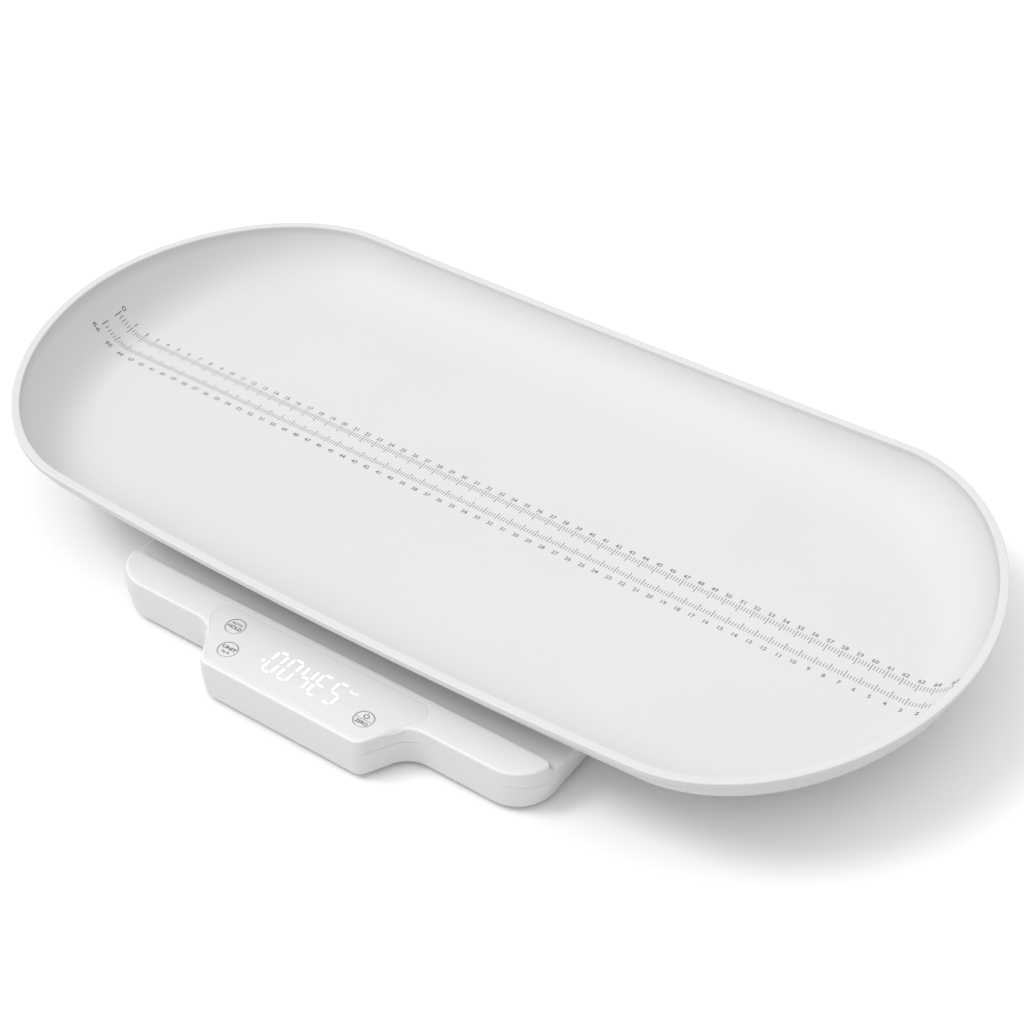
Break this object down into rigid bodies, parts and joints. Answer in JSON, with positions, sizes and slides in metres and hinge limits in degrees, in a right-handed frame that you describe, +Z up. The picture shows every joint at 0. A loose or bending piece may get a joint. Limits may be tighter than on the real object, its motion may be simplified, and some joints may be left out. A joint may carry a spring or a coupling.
{
  "type": "digital baby weighing scale",
  "caption": "Low electronic weighing base with a flush display panel and press keys, carrying a long lift-off oval tray with curved walls and a rounded lip.",
  "frame": {"origin": "centre of the whole footprint, on the floor plane under the rubber feet", "axes": "+X along the tray's length, to the right of someone facing the display; +Y away from the display, towards the battery door; +Z up"},
  "size_m": [0.6796, 0.3838, 0.078],
  "materials": {
    "tray_plastic": "satin white",
    "case_plastic": "smooth white",
    "inner_plastic": "natural white",
    "panel_plastic": "gloss, slightly translucent white",
    "key_plastic": "gloss white with printed ring",
    "rubber": "black matt",
    "silicone": "grey matt",
    "steel": "bright",
    "nickel": "nickel plated",
    "board_green": "solder mask",
    "black_plastic": "moulded",
    "led_white": "moulded",
    "cell_jacket": "printed sleeve, left bare",
    "cable_grey": "sheath",
    "cable_red": "sheath",
    "cable_black": "sheath"
  },
  "bodies": {
    "base": {"lower_shell": "case_plastic", "upper_shell": "case_plastic", "display_panel": "panel_plastic", "switch_hold": "black_plastic", "switch_unit": "black_plastic", "switch_power": "black_plastic", "buzzer": "black_plastic", "controller_chip": "black_plastic", "main_board": "board_green", "led_module": "led_white", "cable_header": "led_white", "load_cell_1": "steel", "load_cell_2": "steel", "load_cell_3": "steel", "load_cell_4": "steel", "case_screw_1": "steel", "case_screw_2": "steel", "case_screw_3": "steel", "case_screw_4": "steel", "case_screw_5": "steel", "case_screw_6": "steel", "board_screw_1": "steel", "board_screw_2": "steel", "cell_frame_1": "inner_plastic", "cell_frame_2": "inner_plastic", "cell_frame_3": "inner_plastic", "cell_frame_4": "inner_plastic", "foot_1": "inner_plastic", "foot_2": "inner_plastic", "foot_3": "inner_plastic", "foot_4": "inner_plastic", "foot_pad_1": "rubber", "foot_pad_2": "rubber", "foot_pad_3": "rubber", "foot_pad_4": "rubber", "cell_cable_1": "cable_grey", "cell_cable_2": "cable_grey", "cell_cable_3": "cable_grey", "cell_cable_4": "cable_grey", "battery_lead_positive": "cable_red", "battery_lead_negative": "cable_black", "battery_1": "cell_jacket", "battery_2": "cell_jacket", "battery_3": "cell_jacket", "contact_left": "nickel", "contact_right": "nickel"},
    "tray": {"tray_shell": "tray_plastic", "tray_pad_1": "silicone", "tray_pad_2": "silicone", "tray_pad_3": "silicone", "tray_pad_4": "silicone"},
    "key_hold": {"key_hold": "key_plastic"},
    "key_unit": {"key_unit": "key_plastic"},
    "key_power": {"key_power": "key_plastic"},
    "battery_door": {"battery_door": "case_plastic"}
  },
  "joints": [
    {"name": "tray_lift", "type": "slide", "parent": "base", "child": "tray", "axis": [0, 0, 1], "range_m": [0, 0.12]},
    {"name": "key_hold_press", "type": "slide", "parent": "base", "child": "key_hold", "axis": [0, 0, -1], "range_m": [0, 0.0006], "stiffness_N_per_m": 2500},
    {"name": "key_unit_press", "type": "slide", "parent": "base", "child": "key_unit", "axis": [0, 0, -1], "range_m": [0, 0.0006], "stiffness_N_per_m": 2500},
    {"name": "key_power_press", "type": "slide", "parent": "base", "child": "key_power", "axis": [0, 0, -1], "range_m": [0, 0.0006], "stiffness_N_per_m": 2500},
    {"name": "battery_door_slide", "type": "slide", "parent": "base", "child": "battery_door", "axis": [0, 1, 0], "range_m": [0, 0.03]}
  ]
}
